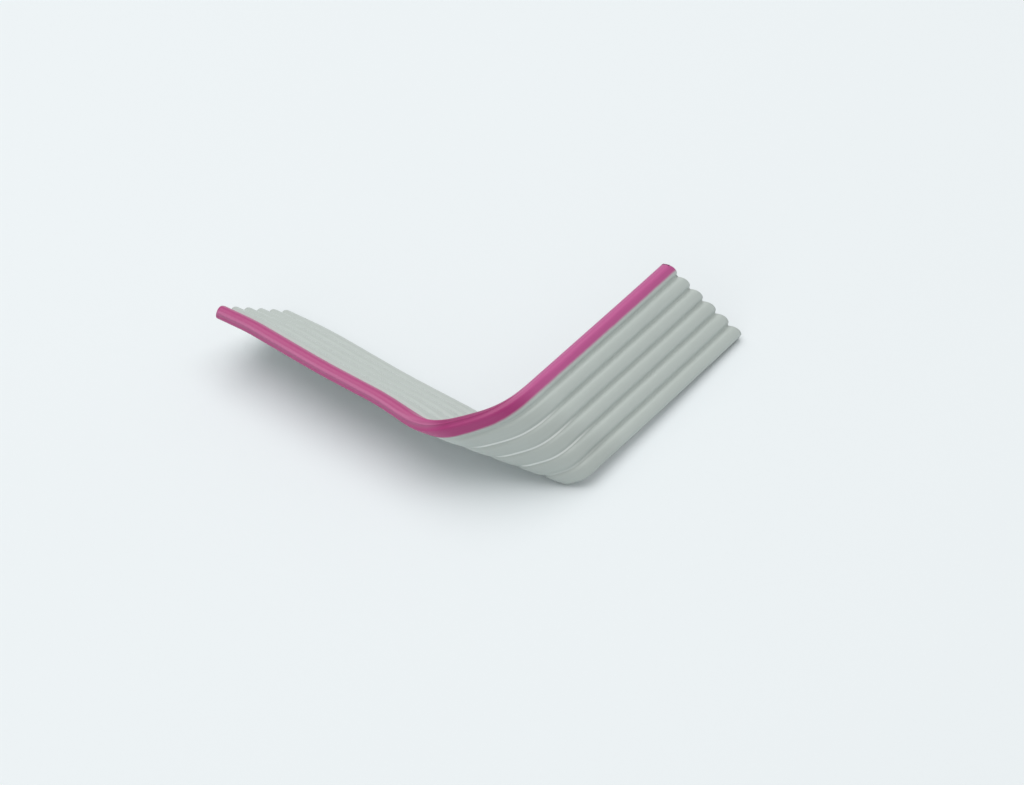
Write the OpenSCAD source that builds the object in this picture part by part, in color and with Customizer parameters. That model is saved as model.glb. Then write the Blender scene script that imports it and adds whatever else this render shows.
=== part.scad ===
// Flat ribbon cable, a short offcut folded over once on the slant.
// Units are millimetres, +Z is up. The cable lies on its last wire's edge.
// Along the cable is s, measured on the middle line from the fold.
// Across the cable is w, from the first wire (negative) to the last.

/* [Cable] */
// Conductors side by side
wires = 6; // [2:1:12]
// Distance from one conductor to the next
pitch = 1.27; // [1.0:0.01:2.54]
// Width of the lobe round one conductor
lobe_w = 1.06; // [0.8:0.01:1.2]
// Thickness of the cable over a lobe
lobe_t = 0.92; // [0.7:0.01:1.2]
// Thickness of the web between two lobes
web_t = 0.38; // [0.2:0.01:0.6]
// Reach of the slit fin beyond each outer lobe
fin_w = 0.06; // [0.02:0.01:0.3]
// Thickness of the slit fin
fin_t = 0.16; // [0.06:0.01:0.3]

/* [Conductors] */
// Diameter of one copper strand
strand_d = 0.127; // [0.08:0.001:0.16]
// Gap kept between strands, and from the strands to the bore
strand_gap = 0.008; // [0.004:0.001:0.02]
// Turn of the outer strands about the middle one, end to end, in degrees
strand_twist = 180; // [0:10:360]

/* [Cut ends] */
// Length from the fold to the left cut
left_len = 23.2; // [20:0.1:40]
// Length from the fold to the right cut
right_len = 19.3; // [14:0.1:40]
// Slant of the left cut, degrees from square
left_skew = 6; // [-10:1:25]
// Slant of the right cut, degrees from square
right_skew = 22; // [-10:1:25]

/* [Fold] */
// Turn of the fold, degrees
fold_turn = 133; // [60:1:160]
// Heading of the cable on the table, degrees from +X
heading = -2; // [-90:1:90]

/* [Hidden] */
// Facets over half a lobe, which are also the facets over half a bore
half_n = 5;
// Sides of a strand
strand_n = 4;
strands = 7;
// The bends, from the left cut to the right one: place, half length, turn,
// slant of the crease lines at its start and end, number of creases
bends = [
    [-19.9, 2.1,  4,   5,  22, 1],
    [-13.3, 2.8, -6,  17,  20, 2],
    [ -7.7, 1.0,  9,  20,  20, 2],
    [ -1.6, 1.8, -0.52 * fold_turn, 52, 37, 6],
    [  1.7, 2.1, -0.48 * fold_turn, 35, 10, 5],
    [ 12.9, 3.9, -1, -11,  -6, 1]
];
// The fold's creases cross the middle line within this distance of it
fold_zone = 6;
lobe_a = lobe_w / 2;
lobe_b = lobe_t / 2;
bore_r = 1.5 * strand_d + 2 * strand_gap;
lay_r = strand_d + strand_gap;
span = (wires - 1) * pitch / 2;
// Least half width of a web
web_half = 0.02;
// The web meets a lobe at this angle; wide lobes run into each other instead
web_a = max(asin(min(web_t / lobe_t, 0.95)),
            lobe_a > pitch / 2 - web_half ? acos((pitch / 2 - web_half) / lobe_a) : 0);
fin_a = asin(min(fin_t / lobe_t, 0.9));

// The creased strip

// v turned about the unit axis r
function turned(v, r, a) =
    v * cos(a) + cross(r, v) * sin(a) + r * (r * v) * (1 - cos(a));

// Lean of the crease lines along the cable, in mm along for each mm across
lean_at = concat([[-left_len, tan(left_skew)]],
    [for (b = bends) each [[b[0] - 0.7 * b[1], tan(b[3])], [b[0] + 0.7 * b[1], tan(b[4])]]],
    [[right_len, tan(right_skew)]]);

// Each crease is [s, turn]; a bend turns most in its middle
function crease_t(b, j) = -1 + (2 * j + 1) / b[5];
function bend_sum(b) = let (v = [for (j = [0:b[5] - 1]) 1 + cos(180 * crease_t(b, j))])
    v * [for (x = v) 1];
creases = concat([[-left_len, 0]],
    [for (b = bends) for (j = [0:b[5] - 1]) let (t = crease_t(b, j))
        [b[0] + t * b[1], b[2] * (1 + cos(180 * t)) / bend_sum(b)]],
    [[right_len, 0]]);

// Walks the flat panels between the creases. A ring is the section line at a
// crease: [point on the middle line, step across, normal, s, lean]
function walk(i, p, t, w, n, s) = i == len(creases) ? [] :
    let (c = creases[i], lean = lookup(c[0], lean_at), f = atan(lean),
         q = p + (c[0] - s) * t,
         r = sin(f) * t + cos(f) * w,
         m = turned(n, r, c[1] / 2))
    concat([[q, r / cos(f), m, c[0], lean]],
        walk(i + 1, q, turned(t, r, c[1]), turned(w, r, c[1]), turned(n, r, c[1]), c[0]));
flat = walk(0, [0, 0, 0], [1, 0, 0], [0, 1, 0], [0, 0, 1], -left_len);

function at(ring, q) = ring[0] + q[0] * ring[1] + q[1] * ring[2];

// Lying on the table

function lowest(pts, up) = let (h = [for (p = pts) p * up], k = search(min(h), h)[0]) pts[k];
edge = [for (a = [-80:20:80]) [span + lobe_a * cos(a), lobe_b * sin(a)]];
function edge_of(lo, hi) = [for (r = flat) if (r[3] >= lo && r[3] <= hi) for (q = edge) at(r, q)];
left_edge = edge_of(-left_len, -left_len / 2);
fold_edge = edge_of(-fold_zone, fold_zone);
right_edge = edge_of(right_len / 2, right_len);
// The plane under the lowest points of the left leg, the fold and the right leg
function settle(up, k) = k == 0 ? up :
    let (a = lowest(left_edge, up), b = lowest(fold_edge, up), c = lowest(right_edge, up),
         n = cross(b - a, c - a), u = n / norm(n))
    settle(u * up < 0 ? -u : u, k - 1);
up = settle([0, -0.5, 0.866], 5);
ahead = lowest(right_edge, up) - lowest(left_edge, up);
ax = let (v = ahead - (ahead * up) * up) v / norm(v);
ex = cos(heading) * ax + sin(heading) * cross(ax, up);
ey = cross(up, ex);
function laid(p) = [p * ex, p * ey, p * up];

// The section

function lobe_x(i) = -span + i * pitch;
function arc_a(i) = [i == 0 ? 180 - fin_a : 180 - web_a, i == wires - 1 ? fin_a : web_a];
// Upper outline of lobe i, left to right
function lobe_top(i) = let (a = arc_a(i)) [for (k = [0:half_n])
    let (g = a[0] + (a[1] - a[0]) * k / half_n) [lobe_x(i) + lobe_a * cos(g), lobe_b * sin(g)]];
function mirrored(pts) = [for (k = [len(pts) - 1:-1:0]) [pts[k][0], -pts[k][1]]];
top = [for (i = [0:wires - 1]) each lobe_top(i)];
edge_w = span + lobe_a + fin_w;
outline = concat(top, [[edge_w, fin_t / 2], [edge_w, -fin_t / 2]],
    mirrored(top), [[-edge_w, -fin_t / 2], [-edge_w, fin_t / 2]]);
// A bore, from its left side over the top and back underneath
bore_n = 2 * half_n;
bore_c = bore_r / cos(180 / bore_n);
function bore(i) = [for (k = [0:bore_n - 1])
    let (g = 180 - 360 * k / bore_n) [lobe_x(i) + bore_c * cos(g), bore_c * sin(g)]];

section = concat(outline, [for (i = [0:wires - 1]) each bore(i)]);
no = len(outline);
ns = len(section);
nt = len(top);
last = len(flat) - 1;

body = [for (r = flat) for (q = section) laid(at(r, q))];
base = [for (k = [0:2]) let (v = [for (p = body) p[k]])
    k == 2 ? min(v) : (min(v) + max(v)) / 2];
function placed(pts) = [for (p = pts) p - base];

// Faces

function flip(tris, yes) = yes ? [for (t = tris) [t[2], t[1], t[0]]] : tris;
// Skin over n points from ring to ring, starting at o in a section of m points
function skin(n, o, m, rings, inward) = flip([for (k = [0:rings - 1], j = [0:n - 1])
    let (a = k * m + o + j, b = k * m + o + (j + 1) % n) each [[a, b, b + m], [a, b + m, a + m]]], inward);
// Place of the outline's and the bores' points in a section
function top_i(i, k) = i * (half_n + 1) + k;
function low_i(i, k) = nt + 2 + (nt - 1 - top_i(i, k));
function bore_i(i, k) = no + i * bore_n + k % bore_n;
// The cut face: ribbons from outline to bore, the webs and the two fins
cut = concat(
    [for (i = [0:wires - 1], k = [0:half_n - 1]) each [
        [top_i(i, k), bore_i(i, k), bore_i(i, k + 1)],
        [top_i(i, k), bore_i(i, k + 1), top_i(i, k + 1)],
        [low_i(i, k), bore_i(i, bore_n - k - 1), bore_i(i, bore_n - k)],
        [low_i(i, k), low_i(i, k + 1), bore_i(i, bore_n - k - 1)]]],
    [for (i = [0:wires - 2]) each [
        [top_i(i, half_n), bore_i(i, half_n), bore_i(i + 1, 0)],
        [top_i(i, half_n), bore_i(i + 1, 0), top_i(i + 1, 0)],
        [low_i(i, half_n), bore_i(i + 1, 0), bore_i(i, half_n)],
        [low_i(i, half_n), low_i(i + 1, 0), bore_i(i + 1, 0)]]],
    [[nt, top_i(wires - 1, half_n), bore_i(wires - 1, half_n)],
     [nt + 1, nt, bore_i(wires - 1, half_n)],
     [low_i(wires - 1, half_n), nt + 1, bore_i(wires - 1, half_n)],
     [no - 2, low_i(0, 0), bore_i(0, 0)],
     [no - 1, no - 2, bore_i(0, 0)],
     [top_i(0, 0), no - 1, bore_i(0, 0)]]);
function moved(tris, by) = [for (t = tris) [t[0] + by, t[1] + by, t[2] + by]];

module insulation() {
    color("#b9bfb9")
    polyhedron(points = placed(body), faces = concat(
        skin(no, 0, ns, last, false),
        [for (i = [0:wires - 1]) each skin(bore_n, no + i * bore_n, ns, last, true)],
        flip(cut, false), flip(moved(cut, last * ns), true)));
}

// Middle of strand j in conductor i where a ring crosses it; strand 1 is the core
function strand_q(ring, i, j) =
    let (x = lobe_x(i), s = ring[3] + x * ring[4] + left_len,
         g = 60 * j + strand_twist * s / (left_len + right_len),
         c = j == 0 ? [x, 0] : [x + lay_r * cos(g), lay_r * sin(g)])
    [for (k = [0:strand_n - 1]) let (h = g + 360 * k / strand_n)
        c + strand_d / 2 * [cos(h), sin(h)]];

module strand(i, j) {
    tips = concat([for (k = [1:strand_n - 2]) [0, k + 1, k]]);
    color("#cfc9bd")
    polyhedron(
        points = placed([for (r = flat) for (q = strand_q(r, i, j)) laid(at(r, q))]),
        faces = concat(skin(strand_n, 0, strand_n, last, true),
            flip(tips, true), flip(moved(tips, last * strand_n), false)));
}

insulation();
for (i = [1:wires], j = [1:strands])
    strand(i - 1, j - 1);
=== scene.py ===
import math

import bmesh
import bpy
import numpy as np
from bpy.props import FloatProperty, FloatVectorProperty, IntProperty, PointerProperty
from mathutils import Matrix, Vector


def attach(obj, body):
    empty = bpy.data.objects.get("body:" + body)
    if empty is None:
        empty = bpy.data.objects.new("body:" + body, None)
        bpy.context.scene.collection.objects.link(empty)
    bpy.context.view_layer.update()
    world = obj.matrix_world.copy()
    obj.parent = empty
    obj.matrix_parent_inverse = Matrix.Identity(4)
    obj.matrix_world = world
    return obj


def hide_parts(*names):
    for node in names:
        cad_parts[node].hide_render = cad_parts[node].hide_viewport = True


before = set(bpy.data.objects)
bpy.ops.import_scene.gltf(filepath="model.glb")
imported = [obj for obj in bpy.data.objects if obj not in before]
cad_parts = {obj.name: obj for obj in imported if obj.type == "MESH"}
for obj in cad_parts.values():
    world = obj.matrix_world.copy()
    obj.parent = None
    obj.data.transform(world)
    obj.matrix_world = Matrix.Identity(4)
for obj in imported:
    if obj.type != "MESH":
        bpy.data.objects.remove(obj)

bl_info = {
    "name": "Folded Ribbon Cable",
    "version": (1, 0, 0),
    "blender": (4, 5, 0),
    "location": "View3D > Sidebar > Ribbon Cable",
    "description": "A folded offcut of flat ribbon cable, with its stranded conductors and a studio floor",
    "category": "Object",
}

MM = 0.001

# Strands in one conductor, and the sides of one strand
STRANDS = 7
STRAND_SIDES = 10
# Longest stretch of the strip without a section line, in mm
STATION_STEP = 0.4
# A bend's two slants hold at this share of its half length from its middle
SLANT_REACH = 0.7
# The fold's creases cross the middle line within this many mm of it
FOLD_ZONE = 6
# Points nearer than this, in metres, are one point where a cut face meets the skin
WELD = 2e-7

# The photograph's viewpoint, in mm, with its lens for a sensor 36 mm wide
CAMERA_PLACE = (3.974, -228.438, 206.18)
CAMERA_AIM = (2.153, 0.935, 0.0)
CAMERA_LENS = 163.47

# Name, place in metres, width, depth and watts of each lamp: a softbox over and
# a little behind the cable, and a weak fill in front
LAMPS = (
    ("top_softbox", (-0.05, 0.07, 0.45), 0.60, 0.52, 1.7),
    ("front_fill", (-0.15, -0.5, 0.30), 0.5, 0.3, 0.45),
)
FLOOR_HALF = 3.0

# The bends from the left cut to the right one: place and half length in mm, turn in
# degrees or as a share of the fold, and the slant of the crease lines at its start
# and end. They follow the part's source, with softer bends in the left leg
BENDS = (
    (-19.9, 2.1, 4.8, 5.0, 22.0),
    (-13.3, 2.8, -2.4, 17.0, 20.0),
    (-7.7, 2.4, 6.5, 20.0, 30.0),
    (-1.6, 1.8, "-0.52 fold", 52.0, 37.0),
    (1.7, 2.1, "-0.48 fold", 35.0, 10.0),
    (12.9, 3.9, -1.0, -11.0, -6.0),
)


def srgb(code):
    """A hex colour as linear red, green, blue and alpha."""
    parts = [int(code[i:i + 2], 16) / 255 for i in (1, 3, 5)]
    linear = [c / 12.92 if c <= 0.04045 else ((c + 0.055) / 1.055) ** 2.4 for c in parts]
    return (*linear, 1.0)


def add(tree, kind, inputs=None, **settings):
    """A node with its settings, and its inputs set or linked."""
    node = tree.nodes.new(kind)
    for name, value in settings.items():
        setattr(node, name, value)
    for key, value in (inputs or {}).items():
        if isinstance(value, bpy.types.Node):
            value = next(s for s in value.outputs if s.enabled)
        if isinstance(value, bpy.types.NodeSocket):
            tree.links.new(value, node.inputs[key])
        else:
            node.inputs[key].default_value = value
    return node


class CableSizes(bpy.types.PropertyGroup):
    wires: IntProperty(
        name="Wires", description="Conductors side by side",
        default=6, min=2, max=12)
    pitch: FloatProperty(
        name="Pitch", description="From one conductor to the next",
        default=1.27 * MM, unit="LENGTH", precision=5)
    lobe_width: FloatProperty(
        name="Lobe width", description="Width of the lobe round one conductor",
        default=1.06 * MM, unit="LENGTH", precision=5)
    lobe_thickness: FloatProperty(
        name="Lobe thickness", description="Thickness of the cable over a lobe",
        default=0.92 * MM, unit="LENGTH", precision=5)
    web_thickness: FloatProperty(
        name="Web thickness", description="Thickness of the web between two lobes",
        default=0.38 * MM, unit="LENGTH", precision=5)
    groove_fillet: FloatProperty(
        name="Groove fillet", description="Rounding where a lobe runs into its web",
        default=0.12 * MM, unit="LENGTH", precision=5)
    fin_reach: FloatProperty(
        name="Fin reach", description="Reach of the slit fin beyond each outer lobe",
        default=0.06 * MM, unit="LENGTH", precision=5)
    fin_thickness: FloatProperty(
        name="Fin thickness", description="Thickness of the slit fin",
        default=0.16 * MM, unit="LENGTH", precision=5)
    strand: FloatProperty(
        name="Strand", description="Diameter of one copper strand",
        default=0.127 * MM, unit="LENGTH", precision=6)
    strand_gap: FloatProperty(
        name="Strand gap", description="Gap kept between strands, and to the bore",
        default=0.008 * MM, unit="LENGTH", precision=6)
    strand_twist: FloatProperty(
        name="Strand twist", description="Turn of the outer strands from end to end",
        default=math.radians(180), subtype="ANGLE", unit="ROTATION")
    left_length: FloatProperty(
        name="Left length", description="From the fold to the left cut",
        default=23.2 * MM, unit="LENGTH", precision=5)
    right_length: FloatProperty(
        name="Right length", description="From the fold to the right cut",
        default=19.6 * MM, unit="LENGTH", precision=5)
    left_skew: FloatProperty(
        name="Left skew", description="Slant of the left cut from square",
        default=math.radians(6), subtype="ANGLE", unit="ROTATION")
    right_skew: FloatProperty(
        name="Right skew", description="Slant of the right cut from square",
        default=math.radians(22), subtype="ANGLE", unit="ROTATION")
    fold_turn: FloatProperty(
        name="Fold turn", description="Turn of the fold",
        default=math.radians(133), subtype="ANGLE", unit="ROTATION")
    heading: FloatProperty(
        name="Heading", description="Heading of the cable on the table",
        default=math.radians(-2), subtype="ANGLE", unit="ROTATION")
    fullness: FloatProperty(
        name="Fullness", description="2 gives an oval lobe, more gives it a flatter top",
        default=2.7, min=2, max=6)
    fold_fullness: FloatProperty(
        name="Fold fullness", description="Fullness of the lobes round the fold",
        default=5.0, min=2, max=9)
    fold_web: FloatProperty(
        name="Fold web", description="Thickness of the web round the fold",
        default=0.64 * MM, unit="LENGTH", precision=5)
    fold_fillet: FloatProperty(
        name="Fold fillet", description="Rounding of the grooves round the fold",
        default=0.05 * MM, unit="LENGTH", precision=5)
    fold_start: FloatProperty(
        name="Fold start", description="Where the flattened stretch starts",
        default=-4.0 * MM, unit="LENGTH", precision=5)
    fold_end: FloatProperty(
        name="Fold end", description="Where the flattened stretch ends",
        default=1.0 * MM, unit="LENGTH", precision=5)
    fold_blend: FloatProperty(
        name="Fold blend", description="Length over which the flattening fades",
        default=5.0 * MM, unit="LENGTH", precision=5)
    crease_turn: FloatProperty(
        name="Crease turn", description="Mean turn at one crease line",
        default=math.radians(2.5), subtype="ANGLE", unit="ROTATION")
    tip_round: FloatProperty(
        name="Tip rounding", description="How far the grooves are cut back at the cable's ends",
        default=0.32 * MM, unit="LENGTH", precision=5)
    facets: IntProperty(
        name="Facets", description="Points over one side of a lobe",
        default=20, min=6, max=60)
    bore_facets: IntProperty(
        name="Bore facets", description="Sides of a bore",
        default=12, min=6, max=48)


class CableColours(bpy.types.PropertyGroup):
    pvc: FloatVectorProperty(
        name="PVC", description="Grey of the insulation",
        subtype="COLOR", size=4, min=0, max=1, default=srgb("#C2CAC6"))
    print_ink: FloatVectorProperty(
        name="Marking", description="Magenta of the marked wire",
        subtype="COLOR", size=4, min=0, max=1, default=srgb("#B3427E"))
    # Painted light: the marking is made paler on the right leg, for the light on that leg
    right_leg_painted_lighter_ink: FloatVectorProperty(
        name="Marking at the right end", description="Paler magenta, painted light on the right leg",
        subtype="COLOR", size=4, min=0, max=1, default=srgb("#BF5591"))
    # Painted shade: the marking is made deeper round the fold, whose face turns down from the light
    fold_painted_shade_ink: FloatVectorProperty(
        name="Marking round the fold", description="Deeper magenta, painted shade round the fold",
        subtype="COLOR", size=4, min=0, max=1, default=srgb("#A72C72"))
    tin: FloatVectorProperty(
        name="Tin", description="Tin on the copper strands",
        subtype="COLOR", size=4, min=0, max=1, default=srgb("#CFCBC2"))
    copper: FloatVectorProperty(
        name="Copper", description="Bare copper at the cut strands",
        subtype="COLOR", size=4, min=0, max=1, default=srgb("#B87B5C"))
    floor: FloatVectorProperty(
        name="Floor", description="Pale studio floor",
        subtype="COLOR", size=4, min=0, max=1, default=srgb("#EDF2F5"))


# The shape of the cable

def turned(v, axis, angle):
    """v turned about the unit axis."""
    along = axis * (axis @ v) * (1 - math.cos(angle))
    return v * math.cos(angle) + np.cross(axis, v) * math.sin(angle) + along


def crease_list(size):
    """Each crease as place in mm, turn and slant in radians, with plain stations between the creases."""
    left, right = -size.left_length / MM, size.right_length / MM
    creases = [(left, 0.0), (right, 0.0)]
    knots = [(left, math.degrees(size.left_skew))]
    for at, half, turn, slant, last_slant in BENDS:
        if isinstance(turn, str):
            turn = float(turn.split()[0]) * math.degrees(size.fold_turn)
        count = max(4, math.ceil(abs(turn) / math.degrees(size.crease_turn)))
        t = -1 + 2 * (np.arange(count) + 0.5) / count
        weight = 1 + np.cos(np.pi * t)
        creases += list(zip(at + t * half, math.radians(turn) * weight / weight.sum()))
        knots += [(at - SLANT_REACH * half, slant), (at + SLANT_REACH * half, last_slant)]
    knots.append((right, math.degrees(size.right_skew)))
    places, slants = zip(*knots)
    lean = np.tan(np.radians(slants))
    creases.sort()
    filled = []
    for (s, turn), (after, _) in zip(creases, creases[1:]):
        extra = int((after - s) / STATION_STEP)
        filled.append((s, turn))
        filled += [(s + (after - s) * (k + 1) / (extra + 1), 0.0) for k in range(extra)]
    filled.append(creases[-1])
    return [(s, turn, math.atan(np.interp(s, places, lean))) for s, turn in filled]


def folded_strip(size):
    """The strip walked over its creases: each section line's middle, step across, normal, place, lean."""
    p, t, w, n = np.zeros(3), np.array([1.0, 0, 0]), np.array([0, 1.0, 0]), np.array([0, 0, 1.0])
    rows, s = [], -size.left_length / MM
    for place, turn, slant in crease_list(size):
        p = p + (place - s) * t
        s = place
        line = math.sin(slant) * t + math.cos(slant) * w
        rows.append((p, line / math.cos(slant), turned(n, line, turn / 2), place, math.tan(slant)))
        t, w, n = (turned(v, line, turn) for v in (t, w, n))
    return [np.array(c) for c in zip(*rows)]


def rounded_max(a, b, reach):
    """The greater of two heights, with the step between them rounded."""
    near = np.maximum(reach - np.abs(a - b), 0) / reach
    return np.maximum(a, b) + near ** 3 * reach / 6


def outline(size):
    """The section's outline in mm: place across, height on the straight and height round the fold."""
    a, b, half = size.lobe_width / 2 / MM, size.lobe_thickness / 2 / MM, size.pitch / 2 / MM
    swing = np.sin(np.pi * ((np.arange(size.facets) + 0.5) / size.facets - 0.5))
    lobe = np.repeat(np.arange(size.wires), size.facets)
    swing = np.tile(swing, size.wires)
    outer = ((lobe == 0) & (swing < 0)) | ((lobe == size.wires - 1) & (swing > 0))
    offset = np.where(outer, a + size.fin_reach / MM, half) * swing
    across = (lobe - (size.wires - 1) / 2) * 2 * half + offset
    heights = []
    for power, web, fillet in ((size.fullness, size.web_thickness, size.groove_fillet),
                               (size.fold_fullness, size.fold_web, size.fold_fillet)):
        top = b * np.maximum(1 - np.abs(offset / a) ** power, 0) ** (1 / power)
        thin = np.where(outer, size.fin_thickness, web) / 2 / MM
        heights.append(rounded_max(top, thin, fillet / MM * np.where(outer, 0.4, 1.0)))
    straight, folded = (np.concatenate([h, -h[::-1]]) for h in heights)
    return np.concatenate([across, across[::-1]]), straight, folded


def laid_strip(size):
    """The folded strip lying on the table on its last wire's edge, centred over the origin."""
    mid, across, normal, place, lean = folded_strip(size)
    a, b = size.lobe_width / 2 / MM, size.lobe_thickness / 2 / MM
    span = (size.wires - 1) * size.pitch / 2 / MM
    turns = np.radians(np.arange(-80, 81, 20))
    edge = mid[:, None] + (span + a * np.cos(turns))[:, None] * across[:, None]
    edge = edge + (b * np.sin(turns))[:, None] * normal[:, None]
    zones = [edge[(place >= lo) & (place <= hi)].reshape(-1, 3)
             for lo, hi in ((place[0], place[0] / 2), (-FOLD_ZONE, FOLD_ZONE), (place[-1] / 2, place[-1]))]
    # The table's plane touches the lowest points of the left leg, the fold and the right leg
    roughly_up = np.array([0, -0.5, 0.866])
    up = roughly_up
    for _ in range(5):
        low = [z[np.argmin(z @ up)] for z in zones]
        up = np.cross(low[1] - low[0], low[2] - low[0])
        up /= np.linalg.norm(up) * (1 if up @ roughly_up > 0 else -1)
    ahead = low[2] - low[0]
    ahead -= (ahead @ up) * up
    ahead /= np.linalg.norm(ahead)
    ex = math.cos(size.heading) * ahead + math.sin(size.heading) * np.cross(ahead, up)
    axes = np.stack([ex, np.cross(up, ex), up])
    mid, across, normal = mid @ axes.T, across @ axes.T, normal @ axes.T
    x, straight, folded = outline(size)
    rise = np.where(np.abs(folded) > np.abs(straight), folded, straight)
    skin = (mid[:, None] + x[:, None] * across[:, None] + rise[:, None] * normal[:, None]).reshape(-1, 3)
    base = np.array([*(skin.min(0) + skin.max(0))[:2] / 2, skin.min(0)[2]])
    cut_back = np.zeros_like(mid)
    for end, inner in ((0, 1), (-1, -2)):
        step = mid[inner] - mid[end]
        cut_back[end] = step / np.linalg.norm(step) * size.tip_round
    return {"middle": (mid - base) * MM, "across": across, "normal_out": normal, "cut_back": cut_back,
            "place": place * MM, "lean": lean}


def line_object(name, points, edges, fields):
    """An object of points and edges that carries the fields, for the node trees to read."""
    mesh = bpy.data.meshes.new(name)
    mesh.from_pydata(points, edges, [])
    for label, values in fields.items():
        kind, field = ("FLOAT_VECTOR", "vector") if values.ndim == 2 else ("FLOAT", "value")
        mesh.attributes.new(label, kind, "POINT").data.foreach_set(field, values.astype(np.float32).ravel())
    carrier = bpy.data.objects.new(name, mesh)
    bpy.context.scene.collection.objects.link(carrier)
    return carrier


def spine_object(name, rows):
    """A line down the middle of the strip, one point to each section line."""
    count = len(rows["middle"])
    return line_object(name, rows["middle"].tolist(), [(i, i + 1) for i in range(count - 1)], rows)


def section_object(size):
    """The outline and one round bore in each lobe, as closed lines in the plane of the section."""
    b, half = size.lobe_thickness / 2 / MM, size.pitch / 2 / MM
    loops = [np.stack(outline(size))]
    radius = (1.5 * size.strand + 2 * size.strand_gap) / MM
    turns = 2 * np.pi * np.arange(size.bore_facets) / size.bore_facets
    for middle in (np.arange(size.wires) - (size.wires - 1) / 2) * 2 * half:
        rise = radius * np.sin(turns)
        loops.append(np.stack([middle + radius * np.cos(turns), rise, rise]))
    edges = []
    for loop in loops:
        start, count = len(edges), loop.shape[1]
        edges += [(start + i, start + (i + 1) % count) for i in range(count)]
    x, straight, folded = np.concatenate(loops, axis=1)
    # 0 on a wire's middle, 1 in a groove and half of it over the lobe's top
    from_wire = np.abs((x / half + size.wires) % 2 - 1)
    rim = np.minimum(from_wire, 1) ** 2 + 0.5 * (straight / b) ** 2
    points = np.stack([x * MM, straight * MM, 0 * x], axis=1).tolist()
    return line_object("cable_section", points, edges, {"folded": folded * MM, "rim": rim})


def new_tree(name, sockets):
    """A geometry node tree with the spine and the named inputs going in, and the cable coming out."""
    tree = bpy.data.node_groups.new(name, "GeometryNodeTree")
    tree.interface.new_socket("Spine", in_out="INPUT", socket_type="NodeSocketGeometry")
    for label, kind in sockets:
        tree.interface.new_socket(label, in_out="INPUT", socket_type="NodeSocket" + kind)
    tree.interface.new_socket("Cable", in_out="OUTPUT", socket_type="NodeSocketGeometry")
    return tree, tree.nodes.new("NodeGroupInput").outputs


def along_wire(tree, spine, across):
    """Place along the cable of a point that lies this far across, on its station's leaning section line."""
    station = add(tree, "GeometryNodeInputNamedAttribute", {"Name": "station"}, data_type="INT")
    sampled = []
    for name in ("lean", "place"):
        field = add(tree, "GeometryNodeInputNamedAttribute", {"Name": name}, data_type="FLOAT")
        sampled.append(add(tree, "GeometryNodeSampleIndex",
                           {"Geometry": spine, "Value": field, "Index": station}, data_type="FLOAT"))
    return add(tree, "ShaderNodeMath", {0: sampled[0], 1: across, 2: sampled[1]}, operation="MULTIPLY_ADD")


def placed_on_strip(tree, spine, geometry, material, cut_material):
    """Moves points from section and station to the folded strip, and gives the faces their materials."""
    station = add(tree, "GeometryNodeInputNamedAttribute", {"Name": "station"}, data_type="INT")
    section = add(tree, "GeometryNodeInputNamedAttribute", {"Name": "section"}, data_type="FLOAT_VECTOR")
    section = add(tree, "ShaderNodeSeparateXYZ", {0: section})
    rim = add(tree, "GeometryNodeInputNamedAttribute", {"Name": "rim"}, data_type="FLOAT")
    along = along_wire(tree, spine, section.outputs[0])
    strip = add(tree, "ShaderNodeCombineXYZ", {0: along, 1: section.outputs[0], 2: section.outputs[1]})
    geometry = add(tree, "GeometryNodeStoreNamedAttribute",
                   {"Geometry": geometry, "Name": "strip", "Value": strip},
                   data_type="FLOAT_VECTOR", domain="POINT")
    here = None
    for name, share in (("middle", None), ("across", section.outputs[0]), ("normal_out", section.outputs[1]),
                        ("cut_back", rim)):
        field = add(tree, "GeometryNodeInputNamedAttribute", {"Name": name}, data_type="FLOAT_VECTOR")
        step = add(tree, "GeometryNodeSampleIndex", {"Geometry": spine, "Value": field, "Index": station},
                   data_type="FLOAT_VECTOR")
        if share is None:
            here = step
        else:
            step = add(tree, "ShaderNodeVectorMath", {0: step, "Scale": share}, operation="SCALE")
            here = add(tree, "ShaderNodeVectorMath", {0: here, 1: step}, operation="ADD")
    geometry = add(tree, "GeometryNodeSetPosition", {"Geometry": geometry, "Position": here})
    geometry = add(tree, "GeometryNodeMergeByDistance", {"Geometry": geometry, "Distance": WELD})
    geometry = add(tree, "GeometryNodeRealizeInstances", {"Geometry": geometry})
    is_cut = add(tree, "GeometryNodeInputNamedAttribute", {"Name": "cut_face"}, data_type="BOOLEAN")
    is_skin = add(tree, "FunctionNodeBooleanMath", {0: is_cut}, operation="NOT")
    geometry = add(tree, "GeometryNodeSetShadeSmooth", {"Geometry": geometry, "Shade Smooth": is_skin})
    geometry = add(tree, "GeometryNodeSetMaterial", {"Geometry": geometry, "Material": material})
    geometry = add(tree, "GeometryNodeSetMaterial",
                   {"Geometry": geometry, "Selection": is_cut, "Material": cut_material})
    end = tree.nodes.new("NodeGroupOutput")
    tree.links.new(geometry.outputs[0], end.inputs[0])


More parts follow.
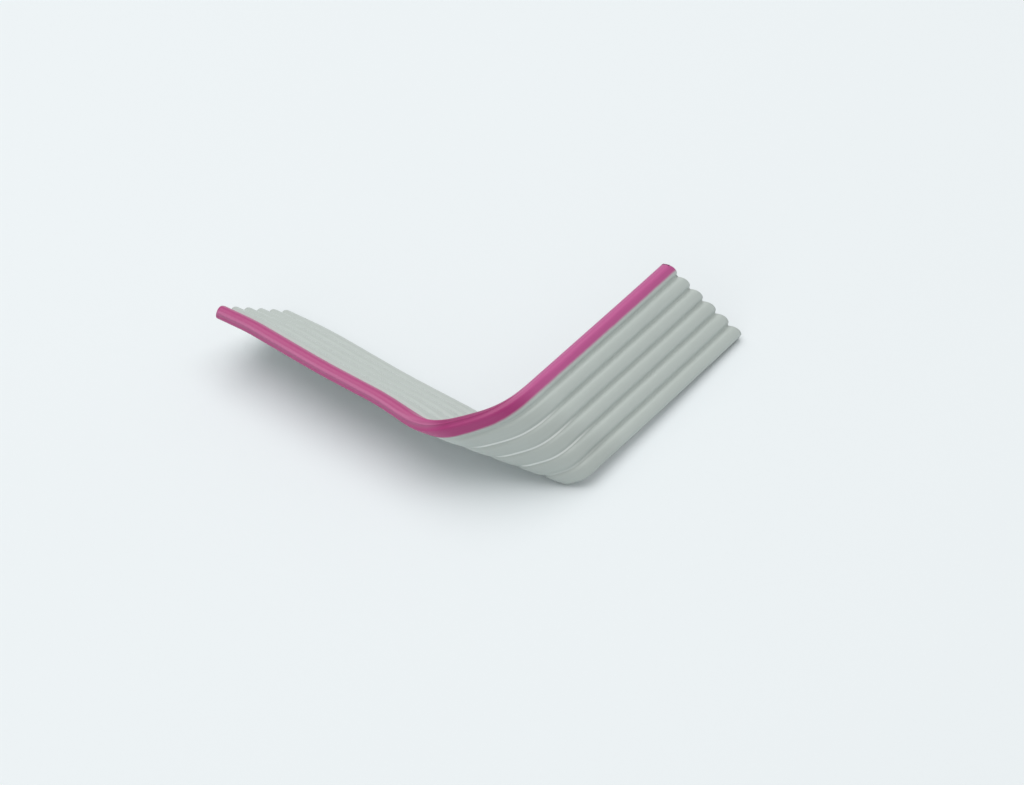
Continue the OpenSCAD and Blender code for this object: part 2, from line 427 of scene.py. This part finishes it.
def swept_and_capped(tree, spine, profile):
    """Carries the profile past every station, and closes both ends with filled faces."""
    count = add(tree, "GeometryNodeAttributeDomainSize", {"Geometry": spine}, component="MESH")
    count = count.outputs["Point Count"]
    last = add(tree, "FunctionNodeIntegerMath", {0: count, 1: 1}, operation="SUBTRACT")
    rail = add(tree, "GeometryNodeMeshLine", {"Count": count, "Offset": (0.0, 0.0, 0.001)})
    index = add(tree, "GeometryNodeInputIndex")
    rail = add(tree, "GeometryNodeStoreNamedAttribute", {"Geometry": rail, "Name": "station", "Value": index},
               data_type="INT", domain="POINT")
    rail = add(tree, "GeometryNodeMeshToCurve", {"Mesh": rail})
    place = add(tree, "GeometryNodeInputPosition")
    profile = add(tree, "GeometryNodeStoreNamedAttribute",
                  {"Geometry": profile, "Name": "section", "Value": place},
                  data_type="FLOAT_VECTOR", domain="POINT")
    parts = [add(tree, "GeometryNodeCurveToMesh", {"Curve": rail, "Profile Curve": profile})]
    for station in (0, last):
        face = add(tree, "GeometryNodeFillCurve", {"Curve": profile}, mode="TRIANGLES")
        for name, value, kind, domain in (("section", place, "FLOAT_VECTOR", "POINT"),
                                          ("station", station, "INT", "POINT"),
                                          ("cut_face", True, "BOOLEAN", "FACE")):
            face = add(tree, "GeometryNodeStoreNamedAttribute",
                       {"Geometry": face, "Name": name, "Value": value}, data_type=kind, domain=domain)
        parts.append(face)
    joined = add(tree, "GeometryNodeJoinGeometry")
    for part in parts:
        tree.links.new(part.outputs[0], joined.inputs[0])
    return joined


def insulation_tree():
    """The section swept along the strip. Round the fold the webs, drawn taut, rise and the lobes flatten."""
    tree, given = new_tree("Lobed insulation", [
        ("Section", "Object"), ("Fold Start", "Float"), ("Fold End", "Float"), ("Fold Blend", "Float"),
        ("Skin", "Material"), ("Cut", "Material")])
    lines = add(tree, "GeometryNodeObjectInfo", {"Object": given["Section"]}).outputs["Geometry"]
    body = swept_and_capped(tree, given["Spine"], add(tree, "GeometryNodeMeshToCurve", {"Mesh": lines}))
    section = add(tree, "GeometryNodeInputNamedAttribute", {"Name": "section"}, data_type="FLOAT_VECTOR")
    nearest = add(tree, "GeometryNodeSampleNearest", {"Geometry": lines, "Sample Position": section})
    for name in ("folded", "rim"):
        field = add(tree, "GeometryNodeInputNamedAttribute", {"Name": name}, data_type="FLOAT")
        field = add(tree, "GeometryNodeSampleIndex", {"Geometry": lines, "Value": field, "Index": nearest},
                    data_type="FLOAT")
        body = add(tree, "GeometryNodeStoreNamedAttribute", {"Geometry": body, "Name": name, "Value": field},
                   data_type="FLOAT", domain="POINT")
    parts = add(tree, "ShaderNodeSeparateXYZ", {0: section})
    along = along_wire(tree, given["Spine"], parts.outputs[0])
    blend = given["Fold Blend"]
    before = add(tree, "ShaderNodeMath", {0: given["Fold Start"], 1: blend}, operation="SUBTRACT")
    after = add(tree, "ShaderNodeMath", {0: given["Fold End"], 1: blend}, operation="ADD")
    rising = add(tree, "ShaderNodeMapRange",
                 {"Value": along, "From Min": before, "From Max": given["Fold Start"]},
                 interpolation_type="SMOOTHERSTEP")
    falling = add(tree, "ShaderNodeMapRange",
                  {"Value": along, "From Min": given["Fold End"], "From Max": after,
                   "To Min": 1.0, "To Max": 0.0}, interpolation_type="SMOOTHERSTEP")
    share = add(tree, "ShaderNodeMath", {0: rising, 1: falling}, operation="MULTIPLY")
    folded = add(tree, "GeometryNodeInputNamedAttribute", {"Name": "folded"}, data_type="FLOAT")
    rise = add(tree, "ShaderNodeMix", {0: share, 2: parts.outputs[1], 3: folded}, data_type="FLOAT")
    section = add(tree, "ShaderNodeCombineXYZ", {0: parts.outputs[0], 1: rise})
    body = add(tree, "GeometryNodeStoreNamedAttribute",
               {"Geometry": body, "Name": "section", "Value": section},
               data_type="FLOAT_VECTOR", domain="POINT")
    placed_on_strip(tree, given["Spine"], body, given["Skin"], given["Cut"])
    return tree


def strand_tree():
    """One strand: a round wire that winds about its conductor's middle as it follows the strip."""
    tree, given = new_tree("Laid strand", [
        ("Sides", "Int"), ("Strand Radius", "Float"), ("Wire Middle", "Vector"), ("Lay", "Vector"),
        ("Start Angle", "Float"), ("End Angle", "Float"), ("Start", "Float"), ("End", "Float"),
        ("Skin", "Material"), ("Cut", "Material")])
    circle = add(tree, "GeometryNodeCurvePrimitiveCircle",
                 {"Resolution": given["Sides"], "Radius": given["Strand Radius"]}, mode="RADIUS")
    body = swept_and_capped(tree, given["Spine"], circle)
    wire = add(tree, "ShaderNodeSeparateXYZ", {0: given["Wire Middle"]})
    along = along_wire(tree, given["Spine"], wire.outputs[0])
    angle = add(tree, "ShaderNodeMapRange", {
        "Value": along, "From Min": given["Start"], "From Max": given["End"],
        "To Min": given["Start Angle"], "To Max": given["End Angle"]}, clamp=False)
    wound = add(tree, "ShaderNodeVectorRotate", {"Vector": given["Lay"], "Angle": angle},
                rotation_type="Z_AXIS")
    centre = add(tree, "ShaderNodeVectorMath", {0: wound, 1: given["Wire Middle"]}, operation="ADD")
    section = add(tree, "GeometryNodeInputNamedAttribute", {"Name": "section"}, data_type="FLOAT_VECTOR")
    section = add(tree, "ShaderNodeVectorMath", {0: section, 1: centre}, operation="ADD")
    body = add(tree, "GeometryNodeStoreNamedAttribute",
               {"Geometry": body, "Name": "section", "Value": section},
               data_type="FLOAT_VECTOR", domain="POINT")
    placed_on_strip(tree, given["Spine"], body, given["Skin"], given["Cut"])
    return tree


def made_piece(name, spine, tree, values, node):
    """Runs the tree on the spine, keeps the result as a plain mesh, and lets it stand for the CAD node."""
    modifier = spine.modifiers.new("cable", "NODES")
    modifier.node_group = tree
    for item in tree.interface.items_tree:
        if item.item_type == "SOCKET" and item.name in values:
            modifier[item.identifier] = values[item.name]
    bpy.context.view_layer.update()
    evaluated = spine.evaluated_get(bpy.context.evaluated_depsgraph_get())
    mesh = bpy.data.meshes.new_from_object(evaluated)
    spine.modifiers.remove(modifier)
    shape = bmesh.new()
    shape.from_mesh(mesh)
    bmesh.ops.recalc_face_normals(shape, faces=shape.faces)
    loose = [e for e in shape.edges if not e.is_manifold]
    if loose or not shape.faces:
        raise RuntimeError(f"{name} is not closed: {len(loose)} open edges, {len(shape.faces)} faces")
    if shape.calc_volume(signed=True) < 0:
        bmesh.ops.reverse_faces(shape, faces=shape.faces)
    shape.to_mesh(mesh)
    shape.free()
    mesh.name = name
    piece = bpy.data.objects.new(name, mesh)
    bpy.context.scene.collection.objects.link(piece)
    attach(piece, "root")
    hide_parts(node)
    return piece


# Finishes

def new_finish(name):
    """A new material, its node tree and the shader in it."""
    finish = bpy.data.materials.new(name)
    finish.use_nodes = True
    return finish, finish.node_tree, finish.node_tree.nodes["Principled BSDF"]


def cable_place(tree):
    """The surface's own place on the cable: mm along it, mm across it and mm from its middle plane."""
    strip = add(tree, "ShaderNodeAttribute", attribute_name="strip")
    return add(tree, "ShaderNodeVectorMath", {0: strip.outputs["Vector"], "Scale": 1 / MM}, operation="SCALE")


def shade(colour, factor):
    """A linear colour made darker or lighter."""
    return tuple(c * factor for c in colour[:3]) + (1.0,)


# Soft PVC, extruded round the conductors: an even satin skin with faint draw lines
# that run with the wires, and ink printed on the first wire
def printed_pvc(size, colours):
    finish, tree, shader = new_finish("extruded_pvc_with_ink")
    place = cable_place(tree)
    along, across, rise = add(tree, "ShaderNodeSeparateXYZ", {0: place}).outputs
    # Draw lines of about 0.08 mm, drawn out 40 times along the wires
    drawn = add(tree, "ShaderNodeVectorMath", {0: place, 1: (0.3, 12.0, 12.0)}, operation="MULTIPLY")
    lines = add(tree, "ShaderNodeTexNoise", {"Vector": drawn, "Scale": 1.0, "Detail": 3.0, "Roughness": 0.6})
    # Slow clouding of the plastic over a few mm
    cloud = add(tree, "ShaderNodeTexNoise", {"Vector": place, "Scale": 0.35, "Detail": 2.0, "Roughness": 0.5})
    grey = add(tree, "ShaderNodeMix", {0: cloud, 6: shade(colours.pvc, 0.95), 7: tuple(colours.pvc)},
               data_type="RGBA")
    tone = add(tree, "ShaderNodeMath", {0: lines, 1: 0.06, 2: 0.97}, operation="MULTIPLY_ADD")
    grey = add(tree, "ShaderNodeVectorMath", {0: grey.outputs[2], "Scale": tone}, operation="SCALE")
    # Place across the fold, whose creases slant by about three parts in four
    over_fold = add(tree, "ShaderNodeMath", {0: across, 1: -0.75, 2: along}, operation="MULTIPLY_ADD")
    entering = add(tree, "ShaderNodeMapRange", {"Value": over_fold, "From Min": -2.4, "From Max": -0.9},
                   interpolation_type="SMOOTHSTEP")
    leaving = add(tree, "ShaderNodeMapRange",
                  {"Value": over_fold, "From Min": 2.4, "From Max": 5.2, "To Min": 1.0, "To Max": 0.0},
                  interpolation_type="SMOOTHSTEP")
    fold = add(tree, "ShaderNodeMath", {0: entering, 1: leaving}, operation="MULTIPLY")
    # Round the fold a thin painted highlight, near white, runs along each groove, where the lower lobe's
    # upper flank catches the light from above
    half = size.pitch / 2 / MM
    first = -(size.wires - 1) * half
    from_first = add(tree, "ShaderNodeMath", {0: across, 1: first}, operation="SUBTRACT")
    from_wire = add(tree, "ShaderNodeMath", {0: from_first, 1: half}, operation="PINGPONG")
    groove = add(tree, "ShaderNodeMapRange",
                 {"Value": from_wire, "From Min": half - 0.10, "From Max": half - 0.03, "To Max": 0.75},
                 interpolation_type="SMOOTHSTEP")
    painted_groove_highlight = add(tree, "ShaderNodeMath", {0: groove, 1: fold}, operation="MULTIPLY")
    # The line is missing beside the inked wire and weak beside the last one
    inner = add(tree, "ShaderNodeMapRange", {"Value": from_first, "From Min": 0.8, "From Max": 1.4})
    painted_groove_highlight = add(tree, "ShaderNodeMath", {0: painted_groove_highlight, 1: inner}, operation="MULTIPLY")
    outer = add(tree, "ShaderNodeMapRange",
                {"Value": from_first, "From Min": 4.8, "From Max": 5.6, "To Min": 1.0, "To Max": 0.25})
    painted_groove_highlight = add(tree, "ShaderNodeMath", {0: painted_groove_highlight, 1: outer}, operation="MULTIPLY")
    # Only the fold's outside, which is the cable's lower face, gets the painted highlight
    lower = add(tree, "ShaderNodeMath", {0: rise, 1: 0.0}, operation="LESS_THAN")
    painted_groove_highlight = add(tree, "ShaderNodeMath", {0: painted_groove_highlight, 1: lower}, operation="MULTIPLY")
    # The lobes round the fold are painted a little darker, as shade on the fold's downward face
    painted_fold_shade = add(tree, "ShaderNodeMath", {0: fold, 1: -0.11, 2: 1.0}, operation="MULTIPLY_ADD")
    grey = add(tree, "ShaderNodeVectorMath", {0: grey, "Scale": painted_fold_shade}, operation="SCALE")
    grey = add(tree, "ShaderNodeMix", {0: painted_groove_highlight, 6: grey, 7: srgb("#F2F6F4")}, data_type="RGBA")
    # Ink: all round the first wire's outer side, less far over its lower face towards the right cut
    waver = add(tree, "ShaderNodeTexNoise", {"Vector": place, "Scale": 1.3, "Detail": 4.0})
    waver = add(tree, "ShaderNodeMath", {0: waver, 1: 0.08, 2: -0.04}, operation="MULTIPLY_ADD")
    narrowing = add(tree, "ShaderNodeMapRange",
                    {"Value": along, "From Min": -8.0, "From Max": 2.0, "To Min": 0.52, "To Max": 0.12})
    limit = add(tree, "ShaderNodeMix", {0: lower, 2: 0.50, 3: narrowing}, data_type="FLOAT")
    limit = add(tree, "ShaderNodeMath", {0: limit, 1: waver}, operation="ADD")
    beyond = add(tree, "ShaderNodeMath", {0: from_first, 1: limit}, operation="SUBTRACT")
    ink = add(tree, "ShaderNodeMapRange",
              {"Value": beyond, "From Min": -0.08, "From Max": 0.17, "To Min": 1.0, "To Max": 0.0},
              interpolation_type="SMOOTHSTEP")
    # A paler line of ink on the slit fin is a painted highlight, where the fin catches the light from above,
    # and the deeper ink round the fold is painted shade
    fin = add(tree, "ShaderNodeMapRange",
              {"Value": from_first, "From Min": -0.55, "From Max": -0.50, "To Min": 0.22, "To Max": 0.0})
    # Painted light: the magenta goes from darker on the left leg to paler on the right leg, for how the light
    # falls on each leg
    painted_light_toward_right = add(tree, "ShaderNodeMapRange", {"Value": along, "From Min": -6.0, "From Max": 4.0})
    magenta = add(tree, "ShaderNodeMix",
                  {0: painted_light_toward_right, 6: tuple(colours.print_ink), 7: tuple(colours.right_leg_painted_lighter_ink)}, data_type="RGBA")
    magenta = add(tree, "ShaderNodeMix", {0: fin, 6: magenta.outputs[2], 7: srgb("#D9A5C6")},
                  data_type="RGBA")
    # Painted shade: the magenta is made deeper round the fold, whose face turns down from the light
    magenta = add(tree, "ShaderNodeMix", {0: fold, 6: magenta.outputs[2], 7: tuple(colours.fold_painted_shade_ink)},
                  data_type="RGBA")
    ink_tone = add(tree, "ShaderNodeMath", {0: lines, 1: 0.14, 2: 0.93}, operation="MULTIPLY_ADD")
    magenta = add(tree, "ShaderNodeVectorMath", {0: magenta.outputs[2], "Scale": ink_tone}, operation="SCALE")
    colour = add(tree, "ShaderNodeMix", {0: ink, 6: grey.outputs[2], 7: magenta}, data_type="RGBA")
    tree.links.new(colour.outputs[2], shader.inputs["Base Color"])
    rough = add(tree, "ShaderNodeMath", {0: lines, 1: 0.12, 2: 0.36}, operation="MULTIPLY_ADD")
    rough = add(tree, "ShaderNodeMath", {0: ink, 1: -0.04, 2: rough}, operation="MULTIPLY_ADD")
    tree.links.new(rough.outputs[0], shader.inputs["Roughness"])
    shader.inputs["IOR"].default_value = 1.54
    grain = add(tree, "ShaderNodeTexNoise", {"Vector": place, "Scale": 9.0, "Detail": 3.0})
    relief = add(tree, "ShaderNodeMath", {0: grain, 1: 0.5, 2: lines}, operation="MULTIPLY_ADD")
    bump = add(tree, "ShaderNodeBump", {"Strength": 0.25, "Distance": 0.006 * MM, "Height": relief})
    tree.links.new(bump.outputs[0], shader.inputs["Normal"])
    return finish


# The same PVC where it was sheared: duller, with fine shear marks across the thickness
def cut_pvc(colours):
    finish, tree, shader = new_finish("sheared_pvc")
    place = cable_place(tree)
    marks = add(tree, "ShaderNodeVectorMath", {0: place, 1: (3.0, 22.0, 3.0)}, operation="MULTIPLY")
    marks = add(tree, "ShaderNodeTexNoise", {"Vector": marks, "Scale": 1.0, "Detail": 3.0})
    colour = add(tree, "ShaderNodeMix", {0: marks, 6: shade(colours.pvc, 0.82), 7: tuple(colours.pvc)},
                 data_type="RGBA")
    tree.links.new(colour.outputs[2], shader.inputs["Base Color"])
    shader.inputs["Roughness"].default_value = 0.62
    shader.inputs["IOR"].default_value = 1.54
    bump = add(tree, "ShaderNodeBump", {"Strength": 0.5, "Distance": 0.02 * MM, "Height": marks})
    tree.links.new(bump.outputs[0], shader.inputs["Normal"])
    return finish


# Tin-dipped copper wire: bright grey, drawn lines along the strand
def tinned_wire(colours):
    finish, tree, shader = new_finish("tinned_copper_wire")
    place = cable_place(tree)
    drawn = add(tree, "ShaderNodeVectorMath", {0: place, 1: (1.0, 40.0, 40.0)}, operation="MULTIPLY")
    lines = add(tree, "ShaderNodeTexNoise", {"Vector": drawn, "Scale": 1.0, "Detail": 2.0})
    colour = add(tree, "ShaderNodeMix", {0: lines, 6: shade(colours.tin, 0.8), 7: tuple(colours.tin)},
                 data_type="RGBA")
    tree.links.new(colour.outputs[2], shader.inputs["Base Color"])
    shader.inputs["Metallic"].default_value = 1.0
    rough = add(tree, "ShaderNodeMath", {0: lines, 1: 0.2, 2: 0.25}, operation="MULTIPLY_ADD")
    tree.links.new(rough.outputs[0], shader.inputs["Roughness"])
    return finish


# The strands' cut faces: bare copper smeared with tin by the cutters, patchy brown and grey
def cut_copper(colours):
    finish, tree, shader = new_finish("cut_copper")
    smear = add(tree, "ShaderNodeTexNoise", {"Vector": cable_place(tree), "Scale": 18.0, "Detail": 2.0})
    amount = add(tree, "ShaderNodeMapRange", {"Value": smear, "From Min": 0.4, "From Max": 0.65})
    colour = add(tree, "ShaderNodeMix", {0: amount, 6: tuple(colours.copper), 7: tuple(colours.tin)},
                 data_type="RGBA")
    tree.links.new(colour.outputs[2], shader.inputs["Base Color"])
    shader.inputs["Metallic"].default_value = 1.0
    rough = add(tree, "ShaderNodeMath", {0: smear, 1: 0.25, 2: 0.3}, operation="MULTIPLY_ADD")
    tree.links.new(rough.outputs[0], shader.inputs["Roughness"])
    return finish


# A sheet of white photo paper: matte, even, with a very faint mottle
def paper_floor(colours):
    finish, tree, shader = new_finish("matte_paper")
    place = add(tree, "ShaderNodeTexCoord").outputs["Object"]
    mottle = add(tree, "ShaderNodeTexNoise", {"Vector": place, "Scale": 25.0, "Detail": 2.0})
    colour = add(tree, "ShaderNodeMix", {0: mottle, 6: shade(colours.floor, 0.985), 7: tuple(colours.floor)},
                 data_type="RGBA")
    tree.links.new(colour.outputs[2], shader.inputs["Base Color"])
    shader.inputs["Roughness"].default_value = 0.85
    shader.inputs["Specular IOR Level"].default_value = 0.2
    return finish


# Operators

class RIBBON_OT_camera(bpy.types.Operator):
    """Sets the camera at the photograph's viewing angle"""
    bl_idname = "ribbon.camera"
    bl_label = "Camera"

    def execute(self, context):
        data = bpy.data.cameras.new("studio_camera")
        data.lens = CAMERA_LENS
        data.sensor_width = 36.0
        data.clip_start, data.clip_end = 0.01, 5.0
        camera = bpy.data.objects.new("studio_camera", data)
        context.scene.collection.objects.link(camera)
        camera.location = Vector(CAMERA_PLACE) * MM
        aim = Vector(CAMERA_AIM) * MM
        camera.rotation_mode = "QUATERNION"
        camera.rotation_quaternion = (aim - camera.location).to_track_quat("-Z", "Y")
        context.scene.camera = camera
        return {"FINISHED"}


class RIBBON_OT_insulation(bpy.types.Operator):
    """Builds the lobed insulation on the folded strip"""
    bl_idname = "ribbon.insulation"
    bl_label = "Insulation"

    def execute(self, context):
        size, colours = context.scene.cable_sizes, context.scene.cable_colours
        spine = spine_object("cable_spine", laid_strip(size))
        section = section_object(size)
        values = {
            "Section": section, "Fold Start": size.fold_start, "Fold End": size.fold_end,
            "Fold Blend": size.fold_blend, "Skin": printed_pvc(size, colours), "Cut": cut_pvc(colours)}
        made_piece("insulation_skin", spine, insulation_tree(), values, "insulation")
        bpy.data.objects.remove(spine)
        bpy.data.objects.remove(section)
        return {"FINISHED"}


class RIBBON_OT_conductors(bpy.types.Operator):
    """Builds the tinned copper strands in their bores"""
    bl_idname = "ribbon.conductors"
    bl_label = "Conductors"

    def execute(self, context):
        size, colours = context.scene.cable_sizes, context.scene.cable_colours
        spine = spine_object("strand_spine", laid_strip(size))
        tree, skin, cut = strand_tree(), tinned_wire(colours), cut_copper(colours)
        for wire in range(size.wires):
            middle = ((wire - (size.wires - 1) / 2) * size.pitch, 0.0, 0.0)
            for strand in range(STRANDS):
                angle = math.radians(60 * strand)
                values = {
                    "Sides": STRAND_SIDES, "Strand Radius": size.strand / 2, "Wire Middle": middle,
                    "Lay": (size.strand + size.strand_gap if strand else 0.0, 0.0, 0.0),
                    "Start Angle": angle, "End Angle": angle + size.strand_twist,
                    "Start": -size.left_length, "End": size.right_length, "Skin": skin, "Cut": cut}
                made_piece(f"round_strand_{wire + 1}_{strand + 1}", spine, tree, values,
                           f"conductor_{wire + 1}_strand_{strand + 1}")
        bpy.data.objects.remove(spine)
        return {"FINISHED"}


class RIBBON_OT_studio(bpy.types.Operator):
    """Lays the pale floor and sets the soft lights"""
    bl_idname = "ribbon.studio"
    bl_label = "Studio"

    def execute(self, context):
        scene, colours = context.scene, context.scene.cable_colours
        mesh = bpy.data.meshes.new("studio_floor")
        corners = [(-FLOOR_HALF, -FLOOR_HALF, 0), (FLOOR_HALF, -FLOOR_HALF, 0),
                   (FLOOR_HALF, FLOOR_HALF, 0), (-FLOOR_HALF, FLOOR_HALF, 0)]
        mesh.from_pydata(corners, [], [(0, 1, 2, 3)])
        mesh.materials.append(paper_floor(colours))
        floor = bpy.data.objects.new("studio_floor", mesh)
        scene.collection.objects.link(floor)
        for name, place, width, depth, power in LAMPS:
            lamp = bpy.data.lights.new(name, "AREA")
            lamp.shape = "RECTANGLE"
            lamp.size, lamp.size_y = width, depth
            lamp.energy = power
            light = bpy.data.objects.new(name, lamp)
            light.location = place
            light.rotation_mode = "QUATERNION"
            light.rotation_quaternion = (-Vector(place)).to_track_quat("-Z", "Y")
            scene.collection.objects.link(light)
        world = bpy.data.worlds.new("studio_tent")
        world.use_nodes = True
        sky = world.node_tree.nodes["Background"]
        sky.inputs["Color"].default_value = srgb("#F3F5F3")
        sky.inputs["Strength"].default_value = 0.46
        scene.world = world
        scene.view_settings.view_transform = "Standard"
        return {"FINISHED"}


class RIBBON_PT_parts(bpy.types.Panel):
    """Sizes, colours and building steps of the ribbon cable"""
    bl_idname = "RIBBON_PT_parts"
    bl_label = "Ribbon Cable"
    bl_space_type = "VIEW_3D"
    bl_region_type = "UI"
    bl_category = "Ribbon Cable"

    def draw(self, context):
        column = self.layout.column()
        for step in STEPS:
            column.operator(step.bl_idname)
        for group in (context.scene.cable_sizes, context.scene.cable_colours):
            for name in group.bl_rna.properties.keys()[2:]:
                column.prop(group, name)


STEPS = (RIBBON_OT_camera, RIBBON_OT_insulation, RIBBON_OT_conductors, RIBBON_OT_studio)
CLASSES = (CableSizes, CableColours, *STEPS, RIBBON_PT_parts)


def register():
    for kind in CLASSES:
        bpy.utils.register_class(kind)
    bpy.types.Scene.cable_sizes = PointerProperty(type=CableSizes)
    bpy.types.Scene.cable_colours = PointerProperty(type=CableColours)


def unregister():
    del bpy.types.Scene.cable_colours
    del bpy.types.Scene.cable_sizes
    for kind in reversed(CLASSES):
        bpy.utils.unregister_class(kind)


def main():
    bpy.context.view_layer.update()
    register()
    bpy.ops.ribbon.camera()
    bpy.ops.ribbon.insulation()
    bpy.ops.ribbon.conductors()
    bpy.ops.ribbon.studio()
    bpy.context.view_layer.update()


if __name__ == "__main__":
    main()
